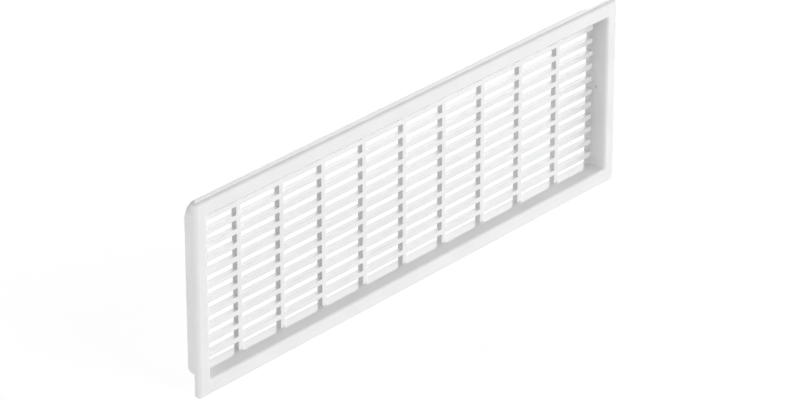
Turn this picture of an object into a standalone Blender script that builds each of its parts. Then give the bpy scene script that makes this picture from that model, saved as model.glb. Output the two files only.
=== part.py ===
# Recessed ventilation grille, moulded in one piece.
# A flanged frame carries a grid of upright ribs and level slats at its back.
# The front faces -Y, +X runs to the right and +Z up. The origin is the middle of
# the opening, in the plane of the panel that the flange lies on.

import math

import bmesh
import bpy

MM = 0.001

# Grid, whose lowest and highest rows of slots are a little taller than the rest
COLUMNS = 10
ROWS = 12
COLUMN_PITCH = 21.8 * MM
ROW_PITCH = 5.2 * MM
RIB_WIDTH = 2.2 * MM
SLAT_HEIGHT = 2.0 * MM
GRID_DEPTH = 2.3 * MM
BAR_FRONT_ROUND = 0.15 * MM
BAR_BACK_ROUND = 0.4 * MM
BAR_ROOT = 1.0 * MM
END_SLOT_HEIGHT = 3.4 * MM

# Recess in front of the grid
RECESS_DEPTH = 6.1 * MM
SIDE_FLARE = 1.25 * MM
HEAD_AND_SILL_FLARE = 0.85 * MM
MOUTH_ROUND = 0.85 * MM
RECESS_CORNER = 0.5 * MM

# Collar that goes through the panel
SIDE_WALL = 2.95 * MM
HEAD_AND_SILL_WALL = 2.85 * MM
COLLAR_DEPTH = 6.8 * MM
COLLAR_CORNER = 5.2 * MM
COLLAR_BACK_ROUND = 0.5 * MM

# Flange that lies on the panel
FLANGE_OVERLAP = 3.85 * MM
FLANGE_SIDE = 1.1 * MM
FLANGE_ROUND = 1.4 * MM
FLANGE_SIDE_CORNER = 1.3 * MM
FLANGE_FACE_CORNER = 0.4 * MM

# Steps in each rounded edge and corner
ROUND_STEPS = 6
SMALL_ROUND_STEPS = 2
CORNER_STEPS = 8

PLASTIC_COLOUR = (0.80, 0.80, 0.79, 1.0)
PLASTIC_ROUGHNESS = 0.32

# Sizes that follow from the values above
OPENING_WIDTH = COLUMNS * COLUMN_PITCH - RIB_WIDTH
OPENING_HEIGHT = (ROWS - 2) * ROW_PITCH + SLAT_HEIGHT + 2 * END_SLOT_HEIGHT
COLLAR_WIDTH = OPENING_WIDTH + 2 * SIDE_WALL
COLLAR_HEIGHT = OPENING_HEIGHT + 2 * HEAD_AND_SILL_WALL
FRONT_Y = -(FLANGE_SIDE + FLANGE_ROUND)
GRID_FRONT_Y = FRONT_Y + RECESS_DEPTH
GRID_BACK_Y = GRID_FRONT_Y + GRID_DEPTH


def clear_scene():
    """Remove every object, so that the script starts from an empty scene."""
    for item in list(bpy.data.objects):
        bpy.data.objects.remove(item, do_unlink=True)


def make_collection(name):
    collection = bpy.data.collections.new(name)
    bpy.context.scene.collection.children.link(collection)
    return collection


def make_plastic():
    material = bpy.data.materials.new("white_plastic")
    material.use_nodes = True
    shader = material.node_tree.nodes["Principled BSDF"]
    shader.inputs["Base Color"].default_value = PLASTIC_COLOUR
    shader.inputs["Roughness"].default_value = PLASTIC_ROUGHNESS
    shader.inputs["Metallic"].default_value = 0.0
    material.diffuse_color = PLASTIC_COLOUR
    return material


def rounded_rectangle(half_width, half_height, corner):
    """Points of a rounded rectangle in X and Z, counter-clockwise from the right."""
    points = []
    for quarter in range(4):
        side_x = 1 if quarter in (0, 3) else -1
        side_z = 1 if quarter in (0, 1) else -1
        centre_x = side_x * (half_width - corner)
        centre_z = side_z * (half_height - corner)
        for step in range(CORNER_STEPS + 1):
            angle = math.radians(90) * (quarter + step / CORNER_STEPS)
            points.append((centre_x + corner * math.cos(angle), centre_z + corner * math.sin(angle)))
    return points


def frame_stations():
    """Rings of the frame as (half width, half height, corner, y), from the mouth
    over the face, round the flange and collar to the back and into the recess."""
    stations = []

    # Rounded mouth, from the flared recess wall to the face
    for step in range(ROUND_STEPS + 1):
        angle = math.radians(90) * step / ROUND_STEPS
        outset = MOUTH_ROUND * (1 - math.cos(angle))
        y = FRONT_Y + MOUTH_ROUND * (1 - math.sin(angle))
        flare = 1 - (y - FRONT_Y) / RECESS_DEPTH
        stations.append((
            OPENING_WIDTH / 2 + SIDE_FLARE * flare + outset,
            OPENING_HEIGHT / 2 + HEAD_AND_SILL_FLARE * flare + outset,
            RECESS_CORNER + outset,
            y,
        ))

    # Rounded outer edge of the flange, from the face to its side
    flange_x = COLLAR_WIDTH / 2 + FLANGE_OVERLAP
    flange_z = COLLAR_HEIGHT / 2 + FLANGE_OVERLAP
    for step in range(ROUND_STEPS + 1):
        angle = math.radians(90) * step / ROUND_STEPS
        inset = FLANGE_ROUND * (1 - math.sin(angle))
        corner = FLANGE_SIDE_CORNER + (FLANGE_FACE_CORNER - FLANGE_SIDE_CORNER) * inset / FLANGE_ROUND
        y = FRONT_Y + FLANGE_ROUND * (1 - math.cos(angle))
        stations.append((flange_x - inset, flange_z - inset, corner, y))

    # Back of the flange, then the collar and its rounded back edge
    stations.append((flange_x, flange_z, FLANGE_SIDE_CORNER, 0.0))
    stations.append((COLLAR_WIDTH / 2, COLLAR_HEIGHT / 2, COLLAR_CORNER, 0.0))
    for step in range(SMALL_ROUND_STEPS + 1):
        angle = math.radians(90) * step / SMALL_ROUND_STEPS
        inset = COLLAR_BACK_ROUND * (1 - math.cos(angle))
        y = COLLAR_DEPTH - COLLAR_BACK_ROUND * (1 - math.sin(angle))
        stations.append((COLLAR_WIDTH / 2 - inset, COLLAR_HEIGHT / 2 - inset, COLLAR_CORNER - inset, y))

    # Opening at the back, straight as far as the grid's front, then the flared recess
    stations.append((OPENING_WIDTH / 2, OPENING_HEIGHT / 2, RECESS_CORNER, COLLAR_DEPTH))
    stations.append((OPENING_WIDTH / 2, OPENING_HEIGHT / 2, RECESS_CORNER, GRID_FRONT_Y))
    return stations


def make_frame():
    """Flange, collar and recess walls as one loft through the rings, closed on itself."""
    bm = bmesh.new()
    rings = []
    for half_width, half_height, corner, y in frame_stations():
        outline = rounded_rectangle(half_width, half_height, corner)
        rings.append([bm.verts.new((x, y, z)) for x, z in outline])
    count = len(rings[0])
    for index, ring in enumerate(rings):
        following = rings[(index + 1) % len(rings)]
        for point in range(count):
            ahead = (point + 1) % count
            bm.faces.new((ring[point], ring[ahead], following[ahead], following[point]))
    bmesh.ops.recalc_face_normals(bm, faces=bm.faces)
    mesh = bpy.data.meshes.new("ventilation_grille")
    bm.to_mesh(mesh)
    bm.free()
    return bpy.data.objects.new("ventilation_grille", mesh)


def make_bar(name, width, height, place):
    """A grid bar: a block with its front edges eased and its back edges rounder.
    The edges along its longer side, width or height, are the ones that are eased."""
    bm = bmesh.new()
    bmesh.ops.create_cube(bm, size=1.0)
    bmesh.ops.scale(bm, vec=(width, GRID_DEPTH, height), verts=bm.verts)
    bmesh.ops.translate(bm, vec=(place[0], GRID_FRONT_Y + GRID_DEPTH / 2, place[1]), verts=bm.verts)
    long_axis = 0 if width > height else 2
    for y, radius in ((GRID_FRONT_Y, BAR_FRONT_ROUND), (GRID_BACK_Y, BAR_BACK_ROUND)):
        edges = [
            edge for edge in bm.edges
            if abs(edge.verts[0].co[long_axis] - edge.verts[1].co[long_axis]) > GRID_DEPTH
            and all(abs(vert.co.y - y) < BAR_FRONT_ROUND / 2 for vert in edge.verts)
        ]
        bmesh.ops.bevel(
            bm, geom=edges, offset=radius, segments=SMALL_ROUND_STEPS, profile=0.5, affect="EDGES")
    mesh = bpy.data.meshes.new(name)
    bm.to_mesh(mesh)
    bm.free()
    bar = bpy.data.objects.new(name, mesh)
    bar.hide_render = True
    bar.display_type = "WIRE"
    return bar


def make_grid_bars(collection):
    """Ribs and slats, rooted in the frame's wall at both ends."""
    rib_length = OPENING_HEIGHT + 2 * BAR_ROOT
    for column in range(1, COLUMNS):
        x = (column - COLUMNS / 2) * COLUMN_PITCH
        collection.objects.link(make_bar(f"rib_{column}", RIB_WIDTH, rib_length, (x, 0.0)))
    slat_length = OPENING_WIDTH + 2 * BAR_ROOT
    for row in range(1, ROWS):
        z = (row - ROWS / 2) * ROW_PITCH
        collection.objects.link(make_bar(f"slat_{row}", slat_length, SLAT_HEIGHT, (0.0, z)))


def join_grid(frame, bars):
    """Unite the frame and its bars into the one moulding."""
    union = frame.modifiers.new("grid", "BOOLEAN")
    union.operation = "UNION"
    union.operand_type = "COLLECTION"
    union.collection = bars
    union.solver = "EXACT"


def main():
    clear_scene()
    grille_collection = make_collection("ventilation grille")
    bar_collection = make_collection("grid bars")
    frame = make_frame()
    frame.data.materials.append(make_plastic())
    grille_collection.objects.link(frame)
    make_grid_bars(bar_collection)
    join_grid(frame, bar_collection)
    frame.data.shade_smooth()
    frame.data.set_sharp_from_angle(angle=math.radians(35))


main()
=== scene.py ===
# Looks of a recessed ventilation grille in white moulded plastic.
# The front faces -Y, +X runs to the right and +Z up. The origin is the middle of
# the opening, in the plane of the panel that the flange lies on. Lengths are in metres.

import math

import bmesh
import bpy
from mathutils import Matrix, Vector


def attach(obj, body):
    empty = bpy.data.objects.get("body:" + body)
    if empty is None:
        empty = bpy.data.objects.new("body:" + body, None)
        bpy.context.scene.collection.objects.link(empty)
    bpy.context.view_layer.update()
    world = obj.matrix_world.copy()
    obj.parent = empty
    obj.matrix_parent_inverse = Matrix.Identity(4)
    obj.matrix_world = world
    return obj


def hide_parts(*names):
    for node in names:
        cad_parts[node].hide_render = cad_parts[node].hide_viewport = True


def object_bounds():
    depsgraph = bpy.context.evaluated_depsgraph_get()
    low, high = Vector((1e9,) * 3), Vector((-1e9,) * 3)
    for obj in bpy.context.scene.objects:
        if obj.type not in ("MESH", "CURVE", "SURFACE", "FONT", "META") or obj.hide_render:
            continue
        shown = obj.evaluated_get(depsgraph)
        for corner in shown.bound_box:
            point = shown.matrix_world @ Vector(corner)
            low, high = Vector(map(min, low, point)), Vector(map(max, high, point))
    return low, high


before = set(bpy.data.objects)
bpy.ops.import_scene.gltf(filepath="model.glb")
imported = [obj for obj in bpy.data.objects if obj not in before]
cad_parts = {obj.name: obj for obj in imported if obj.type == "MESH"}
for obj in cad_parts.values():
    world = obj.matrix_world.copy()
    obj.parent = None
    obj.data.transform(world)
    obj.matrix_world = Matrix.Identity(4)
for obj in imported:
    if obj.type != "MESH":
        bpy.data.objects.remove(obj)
CAD_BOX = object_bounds()

MM = 0.001

# Sizes of the moulding that it shares with its solid
COLUMNS = 10
ROWS = 12
COLUMN_PITCH = 21.8 * MM
ROW_PITCH = 5.2 * MM
RIB_WIDTH = 2.2 * MM
SLAT_HEIGHT = 2.0 * MM
GRID_DEPTH = 2.3 * MM
BAR_FRONT_ROUND = 0.15 * MM
END_SLOT_HEIGHT = 3.4 * MM
RECESS_DEPTH = 6.1 * MM
SIDE_FLARE = 1.25 * MM
HEAD_AND_SILL_FLARE = 0.85 * MM
MOUTH_ROUND = 0.85 * MM
RECESS_CORNER = 0.5 * MM
SIDE_WALL = 2.95 * MM
HEAD_AND_SILL_WALL = 2.85 * MM
COLLAR_DEPTH = 6.8 * MM
COLLAR_CORNER = 5.2 * MM
COLLAR_BACK_ROUND = 0.5 * MM
FLANGE_OVERLAP = 3.85 * MM
FLANGE_SIDE = 1.1 * MM
FLANGE_ROUND = 1.4 * MM
FLANGE_SIDE_CORNER = 1.3 * MM
FLANGE_FACE_CORNER = 0.4 * MM

# Finer rounds, a smaller round at the bars' back and a shorter flare, which only the visible
# moulding has
BAR_BACK_ROUND = 0.15 * MM
SLOT_CORNER = 0.12 * MM
FLANGE_BACK_ROUND = 0.2 * MM
COLLAR_ROOT_ROUND = 0.35 * MM
OPENING_BACK_ROUND = 0.3 * MM
FLARED_DEPTH = 3.6 * MM

# How far the grid's rim reaches into the frame's walls, and its end slots with it
RIM = 1.1 * MM
SLOT_TUCK = 0.6 * MM

# Vertices of neighbouring slots nearer than this become one, and edges sharper than this
# many degrees stay sharp
WELD_DISTANCE = 0.001 * MM
SHARP_ANGLE = 35

# Sizes that follow from the values above
OPENING_X = (COLUMNS * COLUMN_PITCH - RIB_WIDTH) / 2
OPENING_Z = ((ROWS - 2) * ROW_PITCH + SLAT_HEIGHT) / 2 + END_SLOT_HEIGHT
COLLAR_X = OPENING_X + SIDE_WALL
COLLAR_Z = OPENING_Z + HEAD_AND_SILL_WALL
FLANGE_X = COLLAR_X + FLANGE_OVERLAP
FLANGE_Z = COLLAR_Z + FLANGE_OVERLAP
FRONT_Y = -(FLANGE_SIDE + FLANGE_ROUND)
GRID_FRONT_Y = FRONT_Y + RECESS_DEPTH
GRID_BACK_Y = GRID_FRONT_Y + GRID_DEPTH

# Steps in each rounded edge and corner
ROUND_STEPS = 8
SMALL_ROUND_STEPS = 4
CORNER_STEPS = 10
SLOT_CORNER_STEPS = 4

# Camera, as fitted to the ribs and slats in the photograph, with angles in degrees and
# lens and sensor in millimetres
CAMERA_AZIMUTH = -49.45
CAMERA_ELEVATION = 26.1
CAMERA_DISTANCE = 1.5041
CAMERA_LENS = 189.25
CAMERA_SENSOR = 36.0
CAMERA_CLIP = (0.01, 20.0)
CAMERA_TARGET = Vector((-1.215, 4.75, -5.265)) * MM

# Plastic, with linear colours. A contrast is the part of a noise's range that is spread out.
PALE_WHITE = (0.81, 0.81, 0.81, 1.0)
DULL_WHITE = (0.79, 0.79, 0.79, 1.0)
CLOUD_SIZE = 18 * MM
CLOUD_DETAIL = 3.0
CLOUD_CONTRAST = (0.35, 0.65)
LEAST_ROUGHNESS = 0.06
MOST_ROUGHNESS = 0.09
RUB_SIZE = 6 * MM
RUB_DETAIL = 4.0
RUB_CONTRAST = (0.3, 0.7)
PLASTIC_IOR = 1.5
WAVE_SIZE = 14 * MM
WAVE_DETAIL = 0.0
WAVE_DEPTH = 0.004 * MM
GRAIN_SIZE = 0.5 * MM
GRAIN_DETAIL = 2.0
GRAIN_DEPTH = 0.001 * MM
MARK_PLACE = Vector((108.25, 1.6, 2.3)) * MM
MARK_EDGE = (0.35 * MM, 1.0 * MM)
MARK_COLOUR = (0.60, 0.60, 0.60, 1.0)

# Studio. Where it is seen, the floor glows a little less near the object, and the lamps
# make up the rest there.
WHITE = (1.0, 1.0, 1.0, 1.0)
WORLD_LIGHT = 0.02
WORLD_SEEN = 1.0
FLOOR_REACH = 3.0
PAPER_COLOUR = (0.80, 0.80, 0.80, 1.0)
SHADED_COLOUR = (0.25, 0.25, 0.25, 1.0)
GLOW_EDGE = (0.2, 0.5)
GLOW_STRENGTH = (0.86, 1.0)
LAMP_DISTANCE = 3.0
LAMPS = (
    # name, azimuth and elevation in degrees, size, power in watts, shown in reflections
    ("front_softbox", 0, 6, 2.0, 57.0, False),
    ("front_right_softbox", 25, 6, 2.0, 10.0, False),
    ("right_softbox", 65, 7, 2.0, 71.0, False),
    ("high_front_softbox", 0, 35, 1.6, 11.0, False),
    ("left_softbox", -90, 7, 0.7, 37.0, False),
    ("back_left_softbox", -130, 20, 1.6, 13.0, False),
    ("back_softbox", 180, 20, 2.0, 21.0, False),
    ("high_back_softbox", 155, 50, 1.6, 8.0, False),
    ("back_right_softbox", 130, 20, 2.0, 25.0, True),
)


def direction(azimuth, elevation):
    """Unit vector from the object towards a place at that azimuth and elevation."""
    a = math.radians(azimuth)
    e = math.radians(elevation)
    return Vector((math.sin(a) * math.cos(e), -math.cos(a) * math.cos(e), math.sin(e)))


def add_object(name, data):
    item = bpy.data.objects.new(name, data)
    bpy.context.scene.collection.objects.link(item)
    return item


def mesh_object(name, bm):
    """Object with the mesh of bm, whose faces all point outwards."""
    bmesh.ops.recalc_face_normals(bm, faces=bm.faces)
    mesh = bpy.data.meshes.new(name)
    bm.to_mesh(mesh)
    bm.free()
    return add_object(name, mesh)


def look_against(item, back):
    """Turn a camera or lamp so that it looks against the unit vector back."""
    item.rotation_mode = "QUATERNION"
    item.rotation_quaternion = (-back).to_track_quat("-Z", "Y")


def rounded_rectangle(low_x, low_z, high_x, high_z, corner, steps):
    """Points (x, z) of a rounded rectangle, counter-clockwise from the right."""
    points = []
    for quarter in range(4):
        centre_x = high_x - corner if quarter in (0, 3) else low_x + corner
        centre_z = high_z - corner if quarter in (0, 1) else low_z + corner
        for step in range(steps + 1):
            angle = math.radians(90) * (quarter + step / steps)
            points.append((centre_x + corner * math.cos(angle), centre_z + corner * math.sin(angle)))
    return points


def quarter_round(radius, steps):
    """Pairs of distances from an edge's two faces, over the quarter circle that rounds it.
    The first pair is on the second face, one radius from the first one."""
    pairs = []
    for step in range(steps + 1):
        angle = math.radians(90) * step / steps
        pairs.append((radius * (1 - math.sin(angle)), radius * (1 - math.cos(angle))))
    return pairs


def join_rings(bm, rings, closed):
    """Faces between each ring of vertices and the next."""
    count = len(rings[0])
    for index in range(len(rings) if closed else len(rings) - 1):
        ring = rings[index]
        following = rings[(index + 1) % len(rings)]
        for point in range(count):
            ahead = (point + 1) % count
            bm.faces.new((ring[point], ring[ahead], following[ahead], following[point]))


def frame_stations():
    """Rings of the frame as (half width, half height, corner, y), from the mouth
    over the face, round the flange and collar to the back and into the recess."""
    stations = []

    def recess(outset, y):
        flare = max(0.0, 1 - (y - FRONT_Y) / FLARED_DEPTH)
        stations.append((OPENING_X + SIDE_FLARE * flare + outset,
                         OPENING_Z + HEAD_AND_SILL_FLARE * flare + outset, RECESS_CORNER + outset, y))

    def collar(outset, y):
        stations.append((COLLAR_X + outset, COLLAR_Z + outset, COLLAR_CORNER + outset, y))

    def flange(inset, corner, y):
        stations.append((FLANGE_X - inset, FLANGE_Z - inset, corner, y))

    for depth, outset in quarter_round(MOUTH_ROUND, ROUND_STEPS):
        recess(outset, FRONT_Y + depth)
    for inset, depth in quarter_round(FLANGE_ROUND, ROUND_STEPS):
        corner = FLANGE_SIDE_CORNER + (FLANGE_FACE_CORNER - FLANGE_SIDE_CORNER) * inset / FLANGE_ROUND
        flange(inset, corner, FRONT_Y + depth)
    for depth, inset in quarter_round(FLANGE_BACK_ROUND, SMALL_ROUND_STEPS):
        flange(inset, FLANGE_SIDE_CORNER - inset, -depth)
    for outset, depth in quarter_round(COLLAR_ROOT_ROUND, SMALL_ROUND_STEPS):
        collar(outset, depth)
    for depth, inset in quarter_round(COLLAR_BACK_ROUND, SMALL_ROUND_STEPS):
        collar(-inset, COLLAR_DEPTH - depth)
    for depth, outset in reversed(quarter_round(OPENING_BACK_ROUND, SMALL_ROUND_STEPS)):
        stations.append((OPENING_X + outset, OPENING_Z + outset, RECESS_CORNER + outset,
                         COLLAR_DEPTH - depth))
    recess(0.0, GRID_FRONT_Y)
    recess(0.0, FRONT_Y + FLARED_DEPTH)
    return stations


def make_frame():
    """Flange, collar and recess walls as one closed loft."""
    bm = bmesh.new()
    rings = []
    for half_x, half_z, corner, y in frame_stations():
        outline = rounded_rectangle(-half_x, -half_z, half_x, half_z, corner, CORNER_STEPS)
        rings.append([bm.verts.new((x, y, z)) for x, z in outline])
    join_rings(bm, rings, closed=True)
    return mesh_object("grille_frame", bm)


def slot_spans(count, pitch, bar, end):
    """Low and high side of each slot in a row or column, its end slots run into the walls,
    and the low and high side of the plate around it, halfway across the bars."""
    spans = []
    for index in range(count):
        low_bar = (index - count / 2) * pitch
        high_bar = low_bar + pitch
        low = (-end - SLOT_TUCK, -end - RIM) if index == 0 else (low_bar + bar / 2, low_bar)
        high = (end + SLOT_TUCK, end + RIM) if index == count - 1 else (high_bar - bar / 2, high_bar)
        spans.append((low[0], high[0], low[1], high[1]))
    return spans


def slot_stations():
    """Outset and y of a slot's rings, from the grid's front to its back."""
    stations = []
    for depth, outset in reversed(quarter_round(BAR_FRONT_ROUND, SMALL_ROUND_STEPS)):
        stations.append((outset, GRID_FRONT_Y + depth))
    for depth, outset in quarter_round(BAR_BACK_ROUND, SMALL_ROUND_STEPS):
        stations.append((outset, GRID_BACK_Y - depth))
    return stations


def add_slot(bm, column, row):
    """One slot's rounded walls, with the plate around it at front and back."""
    low_x, high_x, plate_low_x, plate_high_x = column
    low_z, high_z, plate_low_z, plate_high_z = row
    rings = []
    for outset, y in slot_stations():
        outline = rounded_rectangle(low_x - outset, low_z - outset, high_x + outset, high_z + outset,
                                    SLOT_CORNER + outset, SLOT_CORNER_STEPS)
        rings.append([bm.verts.new((x, y, z)) for x, z in outline])
    join_rings(bm, rings, closed=False)
    quarter_points = SLOT_CORNER_STEPS + 1
    for ring, y in ((rings[0], GRID_FRONT_Y), (rings[-1], GRID_BACK_Y)):
        corners = [bm.verts.new((x, y, z)) for x, z in (
            (plate_high_x, plate_high_z), (plate_low_x, plate_high_z),
            (plate_low_x, plate_low_z), (plate_high_x, plate_low_z))]
        for quarter, corner in enumerate(corners):
            arc = ring[quarter * quarter_points:(quarter + 1) * quarter_points]
            for first, second in zip(arc, arc[1:]):
                bm.faces.new((corner, first, second))
            next_start = ring[(quarter + 1) * quarter_points % len(ring)]
            bm.faces.new((corner, arc[-1], next_start, corners[(quarter + 1) % 4]))


def make_grid():
    """Ribs and slats as one plate with a rounded slot in each cell."""
    bm = bmesh.new()
    columns = slot_spans(COLUMNS, COLUMN_PITCH, RIB_WIDTH, OPENING_X)
    rows = slot_spans(ROWS, ROW_PITCH, SLAT_HEIGHT, OPENING_Z)
    for column in columns:
        for row in rows:
            add_slot(bm, column, row)
    bmesh.ops.remove_doubles(bm, verts=bm.verts, dist=WELD_DISTANCE)
    rim = [edge for edge in bm.edges if edge.is_boundary]
    bmesh.ops.bridge_loops(bm, edges=rim)
    return mesh_object("grille_grid", bm)


def make_grille():
    """The frame and its grid as one moulding, with normals that keep its flat faces flat."""
    body = make_frame()
    grid = make_grid()
    union = body.modifiers.new("union", "BOOLEAN")
    union.operation = "UNION"
    union.object = grid
    union.solver = "EXACT"
    depsgraph = bpy.context.evaluated_depsgraph_get()
    mesh = bpy.data.meshes.new_from_object(body.evaluated_get(depsgraph))
    mesh.name = "moulded_grille"
    for item in (body, grid):
        bpy.data.objects.remove(item, do_unlink=True)
    grille = add_object("moulded_grille", mesh)
    mesh.shade_smooth()
    mesh.set_sharp_from_angle(angle=math.radians(SHARP_ANGLE))
    weighted = grille.modifiers.new("flat_faces", "WEIGHTED_NORMAL")
    weighted.keep_sharp = True
    return grille


def make_camera():
    camera = add_object("camera", bpy.data.cameras.new("camera"))
    back = direction(CAMERA_AZIMUTH, CAMERA_ELEVATION)
    camera.location = CAMERA_TARGET + back * CAMERA_DISTANCE
    look_against(camera, back)
    camera.data.sensor_width = CAMERA_SENSOR
    camera.data.lens = CAMERA_LENS
    camera.data.clip_start, camera.data.clip_end = CAMERA_CLIP
    bpy.context.scene.camera = camera


def new_links(owner):
    owner.use_nodes = True
    return owner.node_tree.nodes, owner.node_tree.links


def add_noise(nodes, links, place, size, detail):
    """Noise between about 0.3 and 0.7 whose patches are about as wide as size."""
    noise = nodes.new("ShaderNodeTexNoise")
    noise.inputs["Scale"].default_value = 1 / size
    noise.inputs["Detail"].default_value = detail
    links.new(place, noise.inputs["Vector"])
    return noise.outputs["Fac"]


def add_range(nodes, links, value, source, target):
    """Value taken smoothly from the source pair of numbers to the target pair."""
    scaled = nodes.new("ShaderNodeMapRange")
    scaled.interpolation_type = "SMOOTHSTEP"
    links.new(value, scaled.inputs["Value"])
    for name, number in zip(("From Min", "From Max", "To Min", "To Max"), source + target):
        scaled.inputs[name].default_value = number
    return scaled.outputs["Result"]


def add_colour_mix(nodes, links, factor, first, second):
    """First colour at factor 0 and second at 1, each a fixed colour or a socket."""
    mix = nodes.new("ShaderNodeMix")
    mix.data_type = "RGBA"
    links.new(factor, mix.inputs["Factor"])
    for name, colour in (("A", first), ("B", second)):
        socket = next(item for item in mix.inputs if item.name == name and item.type == "RGBA")
        if isinstance(colour, tuple):
            socket.default_value = colour
        else:
            links.new(colour, socket)
    return next(item for item in mix.outputs if item.type == "RGBA")


def add_bump(nodes, links, height, depth, normal):
    """Normal bent by the height, on top of an earlier bent normal or None."""
    bump = nodes.new("ShaderNodeBump")
    bump.inputs["Distance"].default_value = depth
    links.new(height, bump.inputs["Height"])
    if normal is not None:
        links.new(normal, bump.inputs["Normal"])
    return bump.outputs["Normal"]


def make_plastic():
    """Glossy white plastic, faintly clouded and wavy as it came from the mould,
    with the one small dull mark that shows on the right wall of the recess."""
    material = bpy.data.materials.new("white_plastic_looks")
    nodes, links = new_links(material)
    shader = nodes["Principled BSDF"]
    place = nodes.new("ShaderNodeTexCoord").outputs["Object"]

    clouds = add_noise(nodes, links, place, CLOUD_SIZE, CLOUD_DETAIL)
    clouding = add_range(nodes, links, clouds, CLOUD_CONTRAST, (0.0, 1.0))
    white = add_colour_mix(nodes, links, clouding, PALE_WHITE, DULL_WHITE)
    distance = nodes.new("ShaderNodeVectorMath")
    distance.operation = "DISTANCE"
    distance.inputs[1].default_value = MARK_PLACE
    links.new(place, distance.inputs[0])
    mark = add_range(nodes, links, distance.outputs["Value"], MARK_EDGE, (1.0, 0.0))
    marked = add_colour_mix(nodes, links, mark, white, MARK_COLOUR)
    links.new(marked, shader.inputs["Base Color"])

    rubbed = add_noise(nodes, links, place, RUB_SIZE, RUB_DETAIL)
    roughness = add_range(nodes, links, rubbed, RUB_CONTRAST, (LEAST_ROUGHNESS, MOST_ROUGHNESS))
    links.new(roughness, shader.inputs["Roughness"])
    shader.inputs["IOR"].default_value = PLASTIC_IOR

    waves = add_noise(nodes, links, place, WAVE_SIZE, WAVE_DETAIL)
    grain = add_noise(nodes, links, place, GRAIN_SIZE, GRAIN_DETAIL)
    wavy = add_bump(nodes, links, waves, WAVE_DEPTH, None)
    links.new(add_bump(nodes, links, grain, GRAIN_DEPTH, wavy), shader.inputs["Normal"])
    return material


def add_seen(nodes, links):
    """1 for rays from the camera and for those that the object reflects or lets through,
    0 for the rays that only carry light."""
    path = nodes.new("ShaderNodeLightPath")
    seen = path.outputs["Is Camera Ray"]
    for name in ("Is Glossy Ray", "Is Transmission Ray"):
        both = nodes.new("ShaderNodeMath")
        both.operation = "MAXIMUM"
        links.new(seen, both.inputs[0])
        links.new(path.outputs[name], both.inputs[1])
        seen = both.outputs["Value"]
    return seen


def make_world():
    """Dim for the light it gives, white where it is seen."""
    world = bpy.data.worlds.new("studio")
    bpy.context.scene.world = world
    nodes, links = new_links(world)
    background = nodes["Background"]
    background.inputs["Color"].default_value = WHITE
    strength = nodes.new("ShaderNodeMapRange")
    links.new(add_seen(nodes, links), strength.inputs["Value"])
    strength.inputs["To Min"].default_value = WORLD_LIGHT
    strength.inputs["To Max"].default_value = WORLD_SEEN
    links.new(strength.outputs["Result"], background.inputs["Strength"])


def make_floor():
    """White paper floor: it glows white where it is seen and keeps the object's faint shadow."""
    bm = bmesh.new()
    bmesh.ops.create_grid(bm, x_segments=4, y_segments=4, size=FLOOR_REACH)
    bmesh.ops.translate(bm, vec=(0.0, 0.0, CAD_BOX[0].z), verts=bm.verts)
    floor = mesh_object("floor", bm)
    material = bpy.data.materials.new("floor")
    nodes, links = new_links(material)
    nodes.remove(nodes["Principled BSDF"])

    paper = nodes.new("ShaderNodeBsdfDiffuse")
    paper.inputs["Color"].default_value = PAPER_COLOUR
    shaded = nodes.new("ShaderNodeBsdfDiffuse")
    shaded.inputs["Color"].default_value = SHADED_COLOUR
    glow = nodes.new("ShaderNodeEmission")
    place = nodes.new("ShaderNodeTexCoord").outputs["Object"]
    length = nodes.new("ShaderNodeVectorMath")
    length.operation = "LENGTH"
    links.new(place, length.inputs[0])
    strength = add_range(nodes, links, length.outputs["Value"], GLOW_EDGE, GLOW_STRENGTH)
    links.new(strength, glow.inputs["Strength"])
    lit = nodes.new("ShaderNodeAddShader")
    links.new(shaded.outputs["BSDF"], lit.inputs[0])
    links.new(glow.outputs["Emission"], lit.inputs[1])
    mix = nodes.new("ShaderNodeMixShader")
    links.new(add_seen(nodes, links), mix.inputs["Fac"])
    links.new(paper.outputs["BSDF"], mix.inputs[1])
    links.new(lit.outputs["Shader"], mix.inputs[2])
    links.new(mix.outputs["Shader"], nodes["Material Output"].inputs["Surface"])
    floor.data.materials.append(material)


def make_lamp(name, azimuth, elevation, size, power, mirrored):
    """Round softbox that faces the origin."""
    lamp = add_object(name, bpy.data.lights.new(name, "AREA"))
    away = direction(azimuth, elevation)
    lamp.location = away * LAMP_DISTANCE
    look_against(lamp, away)
    lamp.data.shape = "DISK"
    lamp.data.size = size
    lamp.data.energy = power
    lamp.visible_glossy = mirrored


def main():
    make_camera()
    make_world()
    make_floor()
    for lamp in LAMPS:
        make_lamp(*lamp)
    grille = make_grille()
    grille.data.materials.append(make_plastic())
    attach(grille, "root")
    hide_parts("ventilation_grille")
    bpy.context.scene.view_settings.view_transform = "Standard"


main()
